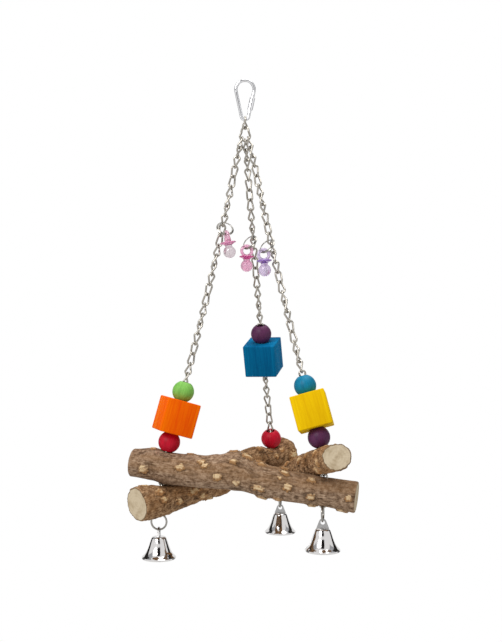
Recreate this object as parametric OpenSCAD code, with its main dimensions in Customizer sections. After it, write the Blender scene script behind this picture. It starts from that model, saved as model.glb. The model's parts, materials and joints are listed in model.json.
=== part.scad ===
// A hanging perch for a pet bird: three branches stacked in a triangle on three chains,
// with wooden blocks, beads, small charms and bells. Lengths are in millimetres.
// The origin is the top inside of the hanging link's wide bend, +Z is up, +X is to the right
// and -Y is the front.

/* [Quick link] */
// Wire of the quick link
quick_wire = 2.5; // [2.2:0.1:2.8]
// Outside width at the wide bend
quick_width = 16.2; // [15:0.2:20]
// Outside width at the narrow bend
quick_narrow = 7.8; // [7.4:0.2:9]
// Outside height
quick_height = 31.9; // [30:0.1:36]
// Length of the sleeve nut
sleeve_length = 9.2; // [8:0.2:10]
// Wall of the sleeve nut
sleeve_wall = 0.7; // [0.5:0.1:1]
// Gap between the wire's ends
quick_gap = 3.6; // [3:0.1:4]

/* [Chain] */
// Wire of the chain links
chain_wire = 1.4; // [1.2:0.05:1.5]
// Outside width of a link
link_width = 5.8; // [5.6:0.1:6]
// Outside length of a link
link_length = 10.4; // [10.3:0.02:10.5]
// Twist from a link's top bend to its bottom bend
link_twist = -60; // [-66:1:-54]
// Play where two links meet
link_play = 0.08; // [0.05:0.01:0.12]
// Outside length of the top link
top_link_length = 10.4; // [10.2:0.1:12]
// Wire of the junction link
junction_wire = 1.6; // [1.4:0.1:1.8]
// Outside width of the junction link
junction_width = 9.2; // [9:0.1:10]
// Outside length of the junction link
junction_length = 12.2; // [12:0.1:14]
// Curve of a chain, from its top to the perches
chain_bow = 5; // [0:0.5:9]

/* [Beads and blocks] */
// Diameter of a bead
bead_d = 16; // [15:0.5:17]
// Height of a bead between its flat ends
bead_height = 14; // [13.5:0.25:15]
// Bore of a bead
bead_bore = 6.6; // [6.4:0.1:7]
// Side of a wooden block
block_side = 25; // [20:0.5:28]
// Bore of a block
block_bore = 10; // [8:0.25:10]
// Chamfer along the edges of a block
block_chamfer = 0.8; // [0.4:0.1:1.5]
// Gap between a bead and what it rests on
rest_gap = 0.25; // [0.2:0.05:0.4]
// Gap between a bead and the branch under it
branch_gap = 0.65; // [0.4:0.05:0.7]

/* [Perches] */
// Bore through the branches for the chains
perch_bore = 8; // [7.5:0.1:8.5]
// Half thickness of the front branch
front_radius = 11; // [10.5:0.1:11]
// Half thickness of the left branch
left_radius = 10.6; // [10:0.1:10.6]
// Half thickness of the right branch
right_radius = 9.2; // [8.6:0.1:9.2]
// Height of the unevenness of the bark
bark_height = 0.25; // [0:0.05:0.3]
// Width of a shaved thorn on the bark
thorn_width = 5; // [4:0.5:6]

/* [Bells] */
// Diameter of a bell's rim
bell_d = 25; // [22:0.5:28]
// Height of a bell from crown to rim
bell_height = 16.2; // [15:0.2:20]
// Wall of a bell
bell_wall = 0.8; // [0.6:0.1:1]
// Width of a bell's lug at its foot
lug_width = 9; // [8:0.2:10]
// Thickness of a bell's lug
lug_thick = 1.3; // [1:0.1:1.5]
// Hole in a bell's lug
lug_hole = 3.1; // [2.8:0.1:3.4]
// Outside diameter of a bell ring
bell_ring_d = 12.6; // [12:0.2:14]
// Wire of a bell ring
bell_ring_wire = 1.4; // [1.2:0.1:1.5]

/* [Charms] */
// Outside diameter of a charm ring
charm_ring_d = 12.9; // [12:0.1:14]
// Wire of a charm ring
charm_ring_wire = 1.2; // [1:0.1:1.3]
// Outside diameter of a charm's loop
charm_loop_d = 9.6; // [9:0.2:10]
// Thickness of a charm's loop
charm_loop_wire = 2.2; // [2:0.1:2.4]
// Length of a charm's shield, across its loop
shield_length = 12; // [11.6:0.2:12.4]
// Width of a charm's shield, along its loop
shield_width = 11.2; // [10.8:0.2:11.4]
// Thickness of a charm's shield
shield_thick = 1.8; // [1.4:0.1:2.2]
// Diameter of a charm's bulb
bulb_d = 9; // [8:0.2:9.6]

/* [Hidden] */
$fn = 48;

// One overrun serves every cut
over = 1;

// Quick link: a wide bend above, a narrow one below, and two legs that touch both
quick_r = quick_wire / 2;
wide_bend = quick_width / 2 - quick_r;
narrow_bend = quick_narrow / 2 - quick_r;
bend_apart = quick_height - quick_wire - wide_bend - narrow_bend;
leg_lean = asin((wide_bend - narrow_bend) / bend_apart);
leg_length = bend_apart * cos(leg_lean);
wide_centre = [0, 0, quick_r - wide_bend];
narrow_centre = wide_centre - [0, 0, bend_apart];
leg_out = [cos(leg_lean), 0, -sin(leg_lean)];
leg_down = [-sin(leg_lean), 0, -cos(leg_lean)];
leg_top = wide_centre + wide_bend * leg_out;
// The sleeve starts a little below the wide bend, and the gap lies inside it
sleeve_start = 5;
gap_start = 6.6;
sleeve_play = 0.05;
quick_seat = narrow_centre.z - narrow_bend + quick_r;

// Links meet at joint points, one pitch apart, in the middle of the play
link_r = chain_wire / 2;
link_bend = link_width / 2 - link_r;
link_pitch = link_length - 2 * chain_wire - link_play;
top_link_pitch = top_link_length - 2 * chain_wire - link_play;
// The knuckles that round a link's corners are a little fatter than its wire
knuckle_share = 1.03;
top_joint = quick_seat + link_play / 2;
junction_joint = top_joint - top_link_pitch;
junction_r = junction_wire / 2;
junction_bend = junction_width / 2 - junction_r;
junction_pitch = junction_length - 2 * junction_wire - link_play;
chain_joint = junction_joint - junction_pitch;
// Turns of the single links about the vertical, as seen from above
top_link_turn = 105;
junction_turn = 135;
junction_twist = 45;
first_left_turn = 105;
first_back_turn = 95;
first_right_turn = 85;
// Angle round the junction link's lower bend between two neighbouring chains
chain_spread = 70;
gather_centre = [0, 0, chain_joint - link_play / 2 - junction_r + junction_bend];
// The first links lean out a little more than the rest
first_lean = 3;
first_lean_links = 3;

// Each corner of the triangle: where the chain enters the upper branch, where it leaves the
// lower one, its number of links, its place on the junction link and the turn from link to link
left_mouth = [-57.2, -19, -274.3];
back_mouth = [21.5, 64, -280.7];
right_mouth = [54.5, -45, -268];
left_exit = [-62.5, -20.8];
back_exit = [28.2, 66];
right_exit = [55, -45.4];
left_links = 38;
back_links = 38;
right_links = 37;
left_turn = 30.27;
back_turn = 23.14;
right_turn = 34.03;

function unit(v) = v / norm(v);
function flat(v) = [v.x, v.y];
// Where a first link sits: across the junction link's wire, in line with its own chain
function first_joint(side, mouth) =
    let (wire = gather_centre + junction_bend * [sin(side), 0, -cos(side)],
         along = [cos(side), 0, sin(side)],
         up = unit(wire - mouth),
         across = unit(up - (up * along) * along))
    wire + (junction_r + link_r + link_play) * across - (link_r + link_play / 2) * up;
function upper_links(start, mouth) = ceil(norm(mouth - start) / link_pitch);
// Lean of link i of a chain that bows outwards between its start and the branch
function link_lean(i, count, middle) =
    middle + chain_bow * ((i + 0.5) / count - 0.5)
    + first_lean * (max(0, 1 - i / first_lean_links) - (first_lean_links + 1) / 2 / count);
// Direction from a point down to a place in plan, for a stretch of chain of this length
function way_down(from, exit, length) =
    let (step = exit - flat(from))
    [step.x, step.y, -sqrt(length * length - step * step)] / length;
// A chain passes over its turn at the mouth in two halves, a link apart
function chain_path(side, mouth, exit, links) =
    let (start = first_joint(side, mouth),
         run = flat(mouth - start),
         way = run / norm(run),
         middle = atan2(norm(run), start.z - mouth.z),
         count = upper_links(start, mouth),
         upper = [for (i = 0, p = start; i <= count;
                       p = p + link_pitch * [way.x * sin(link_lean(i, count, middle)),
                                             way.y * sin(link_lean(i, count, middle)),
                                             -cos(link_lean(i, count, middle))],
                       i = i + 1) p],
         turn_point = upper[count],
         rest = links - count - 1,
         above = unit(turn_point - upper[count - 1]),
         below = way_down(turn_point, exit, (rest + 1) * link_pitch),
         half_turned = turn_point + link_pitch * unit(above + below),
         last = half_turned + rest * link_pitch * way_down(half_turned, exit, rest * link_pitch))
    [for (i = [0:links]) i <= count ? upper[i]
        : half_turned + (last - half_turned) * (i - count - 1) / rest];

left_path = chain_path(-chain_spread, left_mouth, left_exit, left_links);
back_path = chain_path(0, back_mouth, back_exit, back_links);
right_path = chain_path(chain_spread, right_mouth, right_exit, right_links);

// The bore follows the chain's lower stretch, shared between the two ways it points at the mouth
function bore_bottom(path) = path[len(path) - 1];
function bore_top(path, mouth) =
    let (end = bore_bottom(path),
         above = path[len(path) - 2] - end,
         met = end + above * (mouth.z - end.z) / above.z)
    (met + mouth) / 2;

// Point and direction of a chain at a length above the mouth of its bore
function chain_way(path, i) = unit(path[i] - path[i + 1]);
function mouth_link(path, mouth) =
    len([for (p = path) if (p.z > mouth.z) p]) - 1;
function mouth_way(path, mouth) = chain_way(path, mouth_link(path, mouth) - 1);
function mouth_point(path, mouth) =
    let (i = mouth_link(path, mouth), way = chain_way(path, i))
    path[i] - way * (path[i].z - mouth.z) / way.z;

// Beads have flat ends and blocks sit on the round of a bead
bead_r = bead_d / 2;
bead_half = bead_height / 2;
block_seat = sqrt(pow(bead_r, 2) - pow(block_bore / 2, 2)) + rest_gap;
// A bead on a branch stands on the rim of the branch's bore
bead_seat = sqrt(pow(bead_r, 2) - pow(perch_bore / 2, 2)) + branch_gap;
low_bead_height = bead_seat;
block_height = low_bead_height + block_seat + block_side / 2;
high_bead_height = block_height + block_side / 2 + block_seat;
// Height of the blue block's middle above the mouth of its bore
blue_height = 71;
// Turns of the blocks about their chains
orange_turn = 19;
yellow_turn = -6;
blue_turn = -15;

// Rings and bells
bell_ring_r = bell_ring_wire / 2;
bell_ring_bend = bell_ring_d / 2 - bell_ring_r;
lug_play = 0.1;
bell_slack = lug_hole / 2 - bell_ring_r - lug_play;
// Height of the hole's centre above the crown, and the round of metal about it
lug_rise = 4.1;
lug_round = 2.7;
crown_drop = bell_ring_bend + bell_slack + lug_rise;
tang_width = 3.6;
tang_length = 4.4;
tang_hole = 1.8;
slot_play = 0.05;
clapper_wire = 0.9;
clapper_eye = 5;
clapper_ball = 5.2;
clapper_length = 9.5;
clapper_play = 0.2;

function last_turn(first, turn, links) = first + turn * (links - 1) + link_twist + 90;
left_ring_turn = last_turn(first_left_turn, left_turn, left_links);
back_ring_turn = last_turn(first_back_turn, back_turn, back_links);
right_ring_turn = last_turn(first_right_turn, right_turn, right_links);
function bell_ring_centre(path) =
    bore_bottom(path) - [0, 0, bell_ring_bend - bell_ring_r - link_play / 2];

// Charm rings hang in a link and lean clear of their chain
charm_ring_r = charm_ring_wire / 2;
charm_ring_bend = charm_ring_d / 2 - charm_ring_r;
charm_loop_r = charm_loop_wire / 2;
charm_loop_bend = charm_loop_d / 2 - charm_loop_r;
charm_play = 0.1;
// Gap between a charm ring and the link under it
charm_rest = 0.28;
left_charm_link = 8;
middle_charm_link = 9;
right_charm_link = 10;

// A round bar between two points
module rod(a, b, r) {
    v = b - a;
    translate(a)
        rotate([0, acos(v.z / norm(v)), atan2(v.y, v.x)])
            cylinder(h = norm(v), r = r);
}

// Half a ring of wire in the XZ plane, open below
module half_ring(bend, r) {
    rotate([90, 0, 0])
        rotate_extrude(angle = 180)
            translate([bend, 0])
                circle(r = r);
}

module ring(bend, r) {
    rotate([90, 0, 0])
        rotate_extrude()
            translate([bend, 0])
                circle(r = r);
}

// Puts its children between two points, with local Z from b up to a and no turn about it
module between(a, b) {
    v = a - b;
    turn = atan2(v.y, v.x);
    translate((a + b) / 2)
        rotate([0, 0, turn])
            rotate([0, acos(v.z / norm(v)), 0])
                rotate([0, 0, -turn])
                    children();
}

// A twisted link about its middle: its two bends lie in planes a twist apart
module twisted_link(pitch, r, bend, twist) {
    rise = (pitch + link_play) / 2 + r - bend;
    translate([0, 0, rise])
        half_ring(bend, r);
    rotate([0, 0, twist])
        translate([0, 0, -rise])
            rotate([180, 0, 0])
                half_ring(bend, r);
    for (side = [-1, 1]) {
        top = [side * bend, 0, rise];
        bottom = [side * bend * cos(twist), side * bend * sin(twist), -rise];
        rod(top, bottom, r);
        for (end = [top, bottom])
            translate(end)
                sphere(r = r * knuckle_share);
    }
}

module chain(path, first, turn) {
    for (i = [0:len(path) - 2])
        between(path[i], path[i + 1])
            rotate([0, 0, first + turn * i])
                twisted_link(link_pitch, link_r, link_bend, link_twist);
}

module quick_link() {
    color("silver") difference() {
        union() {
            translate(wide_centre)
                rotate([90, 0, 0])
                    rotate_extrude(start = -leg_lean, angle = 180 + 2 * leg_lean)
                        translate([wide_bend, 0])
                            circle(r = quick_r);
            translate(narrow_centre)
                rotate([90, 0, 0])
                    rotate_extrude(start = 180 + leg_lean, angle = 180 - 2 * leg_lean)
                        translate([narrow_bend, 0])
                            circle(r = quick_r);
            for (side = [0, 1])
                mirror([side, 0, 0]) {
                    rod(leg_top, leg_top + leg_length * leg_down, quick_r);
                    for (end = [leg_top, leg_top + leg_length * leg_down])
                        translate(end)
                            sphere(r = quick_r * knuckle_share);
                }
        }
        rod(leg_top + gap_start * leg_down,
            leg_top + (gap_start + quick_gap) * leg_down, quick_r + over);
    }
}

module sleeve_nut() {
    top = leg_top + sleeve_start * leg_down;
    color("gainsboro") difference() {
        rod(top, top + sleeve_length * leg_down, quick_r + sleeve_play + sleeve_wall);
        rod(top - over * leg_down, top + (sleeve_length + over) * leg_down,
            quick_r + sleeve_play);
    }
}

module top_link() {
    color("silver")
        translate([0, 0, top_joint - top_link_pitch / 2])
            rotate([0, 0, top_link_turn])
                twisted_link(top_link_pitch, link_r, link_bend, link_twist);
}

module junction_link() {
    color("silver")
        translate([0, 0, junction_joint - junction_pitch / 2])
            rotate([0, 0, junction_turn])
                twisted_link(junction_pitch, junction_r, junction_bend, junction_twist);
}

module left_chain() {
    color("silver") chain(left_path, first_left_turn, left_turn);
}

module back_chain() {
    color("silver") chain(back_path, first_back_turn, back_turn);
}

module right_chain() {
    color("silver") chain(right_path, first_right_turn, right_turn);
}

// Puts its children on a chain, a height above the mouth, turned about the chain
module on_chain(path, mouth, height, turn) {
    way = mouth_way(path, mouth);
    foot = mouth_point(path, mouth);
    between(foot + (height + over) * way, foot + (height - over) * way)
        rotate([0, 0, turn])
            children();
}

module bead() {
    difference() {
        intersection() {
            sphere(r = bead_r);
            cube([bead_d + over, bead_d + over, bead_height], center = true);
        }
        cylinder(h = bead_height + 2 * over, r = bead_bore / 2, center = true);
    }
}

module block() {
    slant = (block_side - block_chamfer) * sqrt(2);
    difference() {
        intersection() {
            cube(block_side, center = true);
            rotate([45, 0, 0])
                cube([block_side, slant, slant], center = true);
            rotate([0, 45, 0])
                cube([slant, block_side, slant], center = true);
            rotate([0, 0, 45])
                cube([slant, slant, block_side], center = true);
        }
        cylinder(h = block_side + 2 * over, r = block_bore / 2, center = true);
    }
}

module green_bead() {
    color("yellowgreen") on_chain(left_path, left_mouth, high_bead_height, 0) bead();
}

module orange_block() {
    color("darkorange") on_chain(left_path, left_mouth, block_height, orange_turn) block();
}

module left_red_bead() {
    color("crimson") on_chain(left_path, left_mouth, low_bead_height, 0) bead();
}

// The chain bows, so the blue block's place is found on the links that it covers
module on_high_chain(height) {
    i = mouth_link(back_path, back_mouth) - round(height / link_pitch);
    along = height - link_pitch * (mouth_link(back_path, back_mouth) - i);
    way = chain_way(back_path, i - 1);
    middle = back_path[i] + along * way;
    between(middle + over * way, middle - over * way)
        children();
}

module back_purple_bead() {
    color("indigo") on_high_chain(blue_height + block_side / 2 + block_seat) bead();
}

module blue_block() {
    color("steelblue") on_high_chain(blue_height) rotate([0, 0, blue_turn]) block();
}

module back_red_bead() {
    color("crimson") on_chain(back_path, back_mouth, low_bead_height, 0) bead();
}

module teal_bead() {
    color("teal") on_chain(right_path, right_mouth, high_bead_height, 0) bead();
}

module yellow_block() {
    color("gold") on_chain(right_path, right_mouth, block_height, yellow_turn) block();
}

module right_purple_bead() {
    color("indigo") on_chain(right_path, right_mouth, low_bead_height, 0) bead();
}

// Branches. A branch is a straight line through the middles of its two crossings, with shares
// of its half thickness for how far its middle stands above that line and how thick it is.
branch_sides = 28;
branch_rings = 56;
front_start = 26.6;
front_end = 24.7;
left_start = 28;
left_end = 20;
right_start = 29.5;
right_end = 22;
front_left_middle = [left_mouth.x, left_mouth.y, -286.1];
front_right_middle = [right_mouth.x, right_mouth.y, -298.6];
left_left_middle = [left_mouth.x, left_mouth.y, -309];
left_back_middle = [back_mouth.x, back_mouth.y, -290.3];
right_right_middle = [right_mouth.x, right_mouth.y, -277.3];
right_back_middle = [back_mouth.x, back_mouth.y, -309.7];
// [share of the length, share of the half thickness, share of it that the middle is raised]
front_shares = [[0, 0.93, 0.05], [0.1, 1.07, 0.15], [0.165, 1.06, 0], [0.315, 1.06, 0.11],
    [0.385, 1.13, 0.27], [0.438, 1.22, 0.43], [0.475, 1.27, 0.47], [0.51, 1.14, 0.38],
    [0.565, 1.05, 0.2],
    [0.635, 1.03, 0.1], [0.71, 0.98, 0], [0.785, 0.97, 0], [0.859, 0.91, 0],
    [0.935, 0.95, -0.03], [1, 0.99, -0.07]];
left_shares = [[0, 1.07, 0.44], [0.09, 1.05, 0.2], [0.172, 0.96, 0], [0.38, 1.04, 0.12],
    [0.48, 1.09, -0.07], [0.646, 1.04, 0.29], [0.758, 1.02, 0.43], [0.8, 0.97, 0.27],
    [0.855, 0.9, 0], [0.9, 0.9, 0], [0.97, 1.04, 0.24], [1, 1, 0.1]];
right_shares = [[0, 1.07, -0.2], [0.1, 1.06, -0.1], [0.178, 1, 0], [0.38, 1.03, 0.1],
    [0.6, 0.98, 0], [0.868, 0.87, 0], [1, 0.91, 0]];

// A smooth value between the stations of a table
function table_at(table, column, t) =
    let (i = max([for (k = [0:len(table) - 2]) if (table[k][0] <= t) k]),
         a = table[i], b = table[i + 1],
         w = (t - a[0]) / (b[0] - a[0]))
    a[column] + (b[column] - a[column]) * (3 - 2 * w) * w * w;
// Unevenness of the bark, which dies away at the crossings
function bark(t, angle, crossings) =
    let (near = min([for (c = crossings) abs(t - c)]),
         calm = min(1, max(0, near / 0.06 - 0.7)))
    bark_height * calm * (sin(angle * 3 + t * 1100) + sin(angle * 5 - t * 1900)
        + sin(angle * 2 + t * 3100));
// Height of the thorns: each rises over its own place and falls away around it
function thorn_rise(t, angle, length, radius, places) =
    max([for (place = places)
        let (along = (t - place[0]) * length,
             turned = (angle - place[1] + 540) % 360 - 180,
             around = turned * PI / 180 * radius,
             away = sqrt(along * along + around * around) / thorn_width)
        thorn_height * min(1, max(0, 1.5 - 1.6 * away))]);
function branch_point(length, radius, table, crossings, places, i, j) =
    let (t = i / branch_rings,
         angle = 360 * j / branch_sides,
         worn = i == 0 || i == branch_rings ? 2 * bark_height : 0,
         r = radius * table_at(table, 1, t) + bark(t, angle, crossings)
             + thorn_rise(t, angle, length, radius, places) - worn)
    [t * length, -r * sin(angle), radius * table_at(table, 2, t) + r * cos(angle)];
module branch(length, radius, table, crossings, places) {
    rings = branch_rings;
    sides = branch_sides;
    skin = [for (i = [0:rings]) for (j = [0:sides - 1])
        branch_point(length, radius, table, crossings, places, i, j)];
    middles = [[0, 0, radius * table_at(table, 2, 0)],
               [length, 0, radius * table_at(table, 2, 1)]];
    walls = [for (i = [0:rings - 1]) for (j = [0:sides - 1]) for (half = [0, 1])
        let (a = i * sides + j, b = i * sides + (j + 1) % sides)
            half == 0 ? [a, b + sides, a + sides] : [a, b, b + sides]];
    starts = [for (j = [0:sides - 1]) [len(skin), (j + 1) % sides, j]];
    ends = [for (j = [0:sides - 1])
        [len(skin) + 1, rings * sides + j, rings * sides + (j + 1) % sides]];
    polyhedron(points = concat(skin, middles), faces = concat(starts, ends, walls),
               convexity = 4);
}

// Shaved thorns: [share of the length, angle from the top, towards the front on the first two]
front_thorns = [[0.075, 104], [0.095, 12], [0.24, 72], [0.26, 350], [0.33, 46],
    [0.35, 62], [0.41, 100], [0.45, 352], [0.47, 52], [0.495, 114], [0.52, 6], [0.565, 350],
    [0.59, 112], [0.6, 168], [0.585, 18], [0.68, 352], [0.69, 30], [0.67, 146], [0.675, 56],
    [0.715, 84], [0.81, 42], [0.815, 108], [0.82, 170], [0.945, 168], [0.975, 88],
    [0.2, 230], [0.36, 260], [0.5, 220], [0.64, 290], [0.76, 240]];
left_thorns = [[0.065, 344], [0.095, 44], [0.105, 76], [0.19, 96], [0.28, 80], [0.335, 116],
    [0.4, 156], [0.46, 60], [0.6, 100], [0.66, 30], [0.765, 28], [0.855, 64],
    [0.965, 96], [0.22, 250], [0.38, 300], [0.55, 230], [0.74, 280]];
right_thorns = [[0.06, 256], [0.115, 228], [0.105, 300], [0.23, 308], [0.3, 290], [0.34, 40],
    [0.45, 250], [0.52, 320], [0.58, 120], [0.66, 60], [0.74, 280], [0.95, 90], [0.96, 240]];
thorn_height = 1.3;

// Puts a branch along the line through its two crossings and drills it for both chains
module perch(first, second, start, end, radius, table, places, bores) {
    v = second - first;
    span = norm(v);
    length = start + span + end;
    difference() {
        translate(first - unit(v) * start)
            rotate([0, 0, atan2(v.y, v.x)])
                rotate([0, atan2(-v.z, norm(flat(v))), 0])
                    branch(length, radius, table, [start / length, (start + span) / length],
                           places);
        for (bore = bores) {
            way = unit(bore[0] - bore[1]);
            rod(bore[1] - over * 2 * way, bore[0] + over * 8 * way, perch_bore / 2);
        }
    }
}

left_bore = [bore_top(left_path, left_mouth), bore_bottom(left_path)];
back_bore = [bore_top(back_path, back_mouth), bore_bottom(back_path)];
right_bore = [bore_top(right_path, right_mouth), bore_bottom(right_path)];

module front_perch() {
    color("rosybrown")
        perch(front_left_middle, front_right_middle, front_start, front_end, front_radius,
              front_shares, front_thorns, [left_bore, right_bore]);
}

module left_perch() {
    color("peru")
        perch(left_left_middle, left_back_middle, left_start, left_end, left_radius,
              left_shares, left_thorns, [left_bore, back_bore]);
}

module right_perch() {
    color("tan")
        perch(right_right_middle, right_back_middle, right_start, right_end, right_radius,
              right_shares, right_thorns, [right_bore, back_bore]);
}

module bell_ring(path, turn) {
    color("silver")
        translate(bell_ring_centre(path))
            rotate([0, 0, turn])
                ring(bell_ring_bend, bell_ring_r);
}

module left_bell_ring() {
    bell_ring(left_path, left_ring_turn);
}

module back_bell_ring() {
    bell_ring(back_path, back_ring_turn);
}

module right_bell_ring() {
    bell_ring(right_path, right_ring_turn);
}

// Puts its children with their origin at the middle of a bell's crown
module at_crown(path, turn) {
    translate(bell_ring_centre(path) - [0, 0, crown_drop])
        rotate([0, 0, turn])
            children();
}

// Bell outline: [share of the rim's radius, share of the height below the crown]
bell_shares = [[0.29, 0], [0.37, 0.02], [0.43, 0.07], [0.47, 0.15], [0.53, 0.28], [0.59, 0.42],
    [0.66, 0.56], [0.74, 0.69], [0.84, 0.8], [0.95, 0.88], [1, 0.92], [1, 0.96], [0.975, 1]];

module bell_cup() {
    rim = bell_d / 2;
    outline = [for (s = bell_shares) [s[0] * rim, -s[1] * bell_height]];
    inside = [for (i = [len(bell_shares) - 1:-1:0])
        [bell_shares[i][0] * rim - bell_wall,
         min(-bell_wall, -bell_shares[i][1] * bell_height + bell_wall * (bell_shares[i][1] < 0.5 ? -0.4 : 0))]];
    difference() {
        rotate_extrude()
            polygon(concat([[0, 0]], outline, inside, [[0, -bell_wall]]));
        cube([lug_thick + 2 * slot_play, tang_width + 2 * slot_play, 4 * bell_wall],
             center = true);
    }
}

module bell(path, turn) {
    color("lightsteelblue")
        at_crown(path, turn)
            bell_cup();
}

module left_bell() {
    bell(left_path, left_ring_turn);
}

module back_bell() {
    bell(back_path, back_ring_turn);
}

module right_bell() {
    bell(right_path, right_ring_turn);
}

// A lug is a flat strip: a tapered ear above the crown and a tang through it, both pierced
module bell_lug(path, turn) {
    flank = asin((lug_width / 2 - lug_round) / norm([lug_width / 2, lug_rise]));
    color("silver")
        at_crown(path, turn)
            rotate([90, 0, 90])
                linear_extrude(height = lug_thick, center = true)
                    difference() {
                        union() {
                            polygon([[-lug_width / 2, 0], [lug_width / 2, 0],
                                [lug_round * cos(flank), lug_rise + lug_round * sin(flank)],
                                [-lug_round * cos(flank), lug_rise + lug_round * sin(flank)]]);
                            translate([0, lug_rise])
                                circle(r = lug_round);
                            translate([-tang_width / 2, -tang_length - bell_wall])
                                square([tang_width, tang_length + bell_wall]);
                        }
                        translate([0, lug_rise])
                            circle(d = lug_hole);
                        translate([0, -tang_length - bell_wall + tang_width / 2])
                            circle(d = tang_hole);
                    }
}

module left_bell_lug() {
    bell_lug(left_path, left_ring_turn);
}

module back_bell_lug() {
    bell_lug(back_path, back_ring_turn);
}

module right_bell_lug() {
    bell_lug(right_path, right_ring_turn);
}

// The clapper hangs by its wire eye in the tang's hole
clapper_r = clapper_wire / 2;
clapper_bend = clapper_eye / 2 - clapper_r;
clapper_pivot = -tang_length - bell_wall + tang_width / 2 - tang_hole / 2 + clapper_r + clapper_play;

module clapper(path, turn) {
    color("dimgray")
        at_crown(path, turn)
            translate([0, 0, clapper_pivot - clapper_bend]) {
                ring(clapper_bend, clapper_r);
                rod([0, 0, -clapper_bend], [0, 0, clapper_bend - clapper_length], clapper_r);
                translate([0, 0, clapper_bend - clapper_length])
                    sphere(d = clapper_ball);
            }
}

module left_clapper() {
    clapper(left_path, left_ring_turn);
}

module back_clapper() {
    clapper(back_path, back_ring_turn);
}

module right_clapper() {
    clapper(right_path, right_ring_turn);
}

// Charm rings: turn about the vertical, then the lean that keeps the ring clear of the chain
left_charm_ring_turn = 20;
middle_charm_ring_turn = -45;
right_charm_ring_turn = -45;
left_ring_lean = 38;
middle_ring_lean = 34;
right_ring_lean = 38;

function link_middle(path, i) = (path[i] + path[i + 1]) / 2;
function ring_top(path, i) =
    path[i + 1] + (link_r * 2 + link_play / 2 + charm_ring_r + charm_rest) * chain_way(path, i);

// Children stand in the ring's own frame: its centre at the origin, its plane XZ
module at_charm_ring(path, i, turn, lean) {
    translate(ring_top(path, i))
        rotate([0, 0, turn])
            rotate([lean, 0, 0])
                translate([0, 0, -charm_ring_bend])
                    children();
}

module charm_ring(path, i, turn, lean) {
    color("silver")
        at_charm_ring(path, i, turn, lean)
            ring(charm_ring_bend, charm_ring_r);
}

module left_charm_ring() {
    charm_ring(left_path, left_charm_link, left_charm_ring_turn, -left_ring_lean);
}

module middle_charm_ring() {
    charm_ring(back_path, middle_charm_link, middle_charm_ring_turn, -middle_ring_lean);
}

module right_charm_ring() {
    charm_ring(right_path, right_charm_link, right_charm_ring_turn, -right_ring_lean);
}

// A charm about the middle of its loop: loop, neck, oval shield and bulb in one moulding
shield_drop = 4.5;
neck_length = 1.4;
neck_r = 2.4;
bulb_sink = 0.3;
bulb_drop = shield_drop + shield_thick + neck_length + bulb_d / 2 - bulb_sink;
shield_side = (shield_length - shield_width) / 2;

module charm_body() {
    ring(charm_loop_bend, charm_loop_r);
    translate([0, 0, -shield_drop - shield_thick])
        linear_extrude(height = shield_thick)
            union() {
                for (side = [-1, 1])
                    translate([0, side * shield_side])
                        circle(d = shield_width);
            }
    translate([0, 0, -bulb_drop])
        sphere(d = bulb_d);
    translate([0, 0, -bulb_drop])
        cylinder(h = bulb_drop - charm_loop_bend, r = neck_r);
}

// Turn and lean of a charm about the foot of its ring
module charm(path, i, turn, lean, own_turn, own_lean, tint) {
    foot = charm_ring_bend;
    color(tint)
        at_charm_ring(path, i, turn, lean)
            translate([0, 0, -foot])
                rotate([-lean, 0, 0])
                    rotate([0, 0, -turn])
                        rotate([0, own_lean, 0])
                            rotate([0, 0, own_turn])
                                translate([0, 0, charm_ring_r + charm_play + charm_loop_r
                                             - charm_loop_bend])
                                charm_body();
}

module left_charm() {
    charm(left_path, left_charm_link, left_charm_ring_turn, -left_ring_lean, 105, -9, "pink");
}

module middle_charm() {
    charm(back_path, middle_charm_link, middle_charm_ring_turn, -middle_ring_lean, 8, 0,
          "deeppink");
}

module right_charm() {
    charm(right_path, right_charm_link, right_charm_ring_turn, -right_ring_lean, 8, -4,
          "mediumpurple");
}

quick_link();
sleeve_nut();
top_link();
junction_link();
left_chain();
back_chain();
right_chain();
left_charm_ring();
middle_charm_ring();
right_charm_ring();
left_charm();
middle_charm();
right_charm();
green_bead();
orange_block();
left_red_bead();
back_purple_bead();
blue_block();
back_red_bead();
teal_bead();
yellow_block();
right_purple_bead();
front_perch();
left_perch();
right_perch();
left_bell_ring();
back_bell_ring();
right_bell_ring();
left_bell();
back_bell();
right_bell();
left_bell_lug();
back_bell_lug();
right_bell_lug();
left_clapper();
back_clapper();
right_clapper();
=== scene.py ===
"""A hanging bird perch, dressed and lit for a product picture.

Three thorny branches are stacked in a triangle and hang on three twisted-link chains from a
pear-shaped quick link. The chains carry dyed wooden beads and blocks, three small acrylic
charms on split rings, and a chromed bell under each corner.

Lengths are written in millimetres and turned to metres by MM. The origin is the top inside of
the quick link's wide bend, +Z is up and -Y is the front.
"""
import json
import logging
import math
from dataclasses import dataclass
from enum import Enum

import bpy
import numpy as np
from mathutils import Matrix, Vector, noise


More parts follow.
